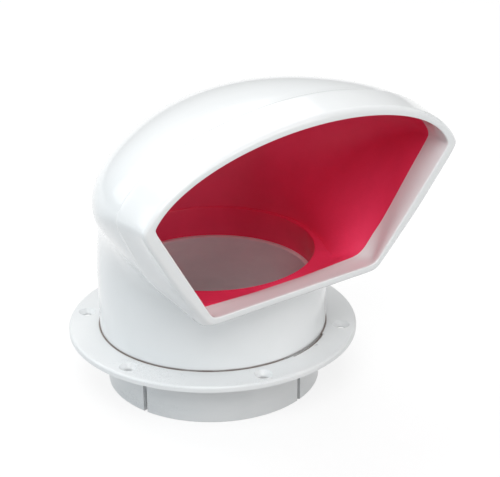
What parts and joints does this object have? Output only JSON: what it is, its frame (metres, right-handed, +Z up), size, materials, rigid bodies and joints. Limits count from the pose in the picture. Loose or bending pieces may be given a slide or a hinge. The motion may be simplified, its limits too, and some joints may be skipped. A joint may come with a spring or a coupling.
{
  "type": "boat vent",
  "caption": "Low cowl vent: a white flexible hood with a red inside turns on a round screw-down deck plate with a slotted skirt, and lifts out of it.",
  "frame": {"origin": "vent axis at the deck plane, the underside of the deck plate", "axes": "+Z up along the vent axis; the mouth of the cowl faces -Y at rest; +X completes the right-handed frame"},
  "size_m": [0.1862, 0.1643, 0.1728],
  "materials": {
    "white_pvc": "soft gloss",
    "red_pvc": "satin",
    "white_abs": "satin",
    "seal_rubber": "matte",
    "screen_plastic": "matte",
    "screen_net": "woven"
  },
  "bodies": {
    "base": {"deck_plate": "white_abs", "screen_frame": "screen_plastic", "screen_mesh": "screen_net"},
    "seal": {"seal_ring": "seal_rubber"},
    "cowl": {"cowl_hood": "white_pvc", "red_lining": "red_pvc", "neck_collar": "white_abs"}
  },
  "joints": [
    {"name": "cowl_lift", "type": "slide", "parent": "base", "child": "seal", "axis": [0, 0, 1], "range_m": [0, 0.06]},
    {"name": "cowl_turn", "type": "hinge", "parent": "seal", "child": "cowl", "pos_m": [0, 0, 0.0013], "axis": [0, 0, 1], "continuous": true}
  ]
}
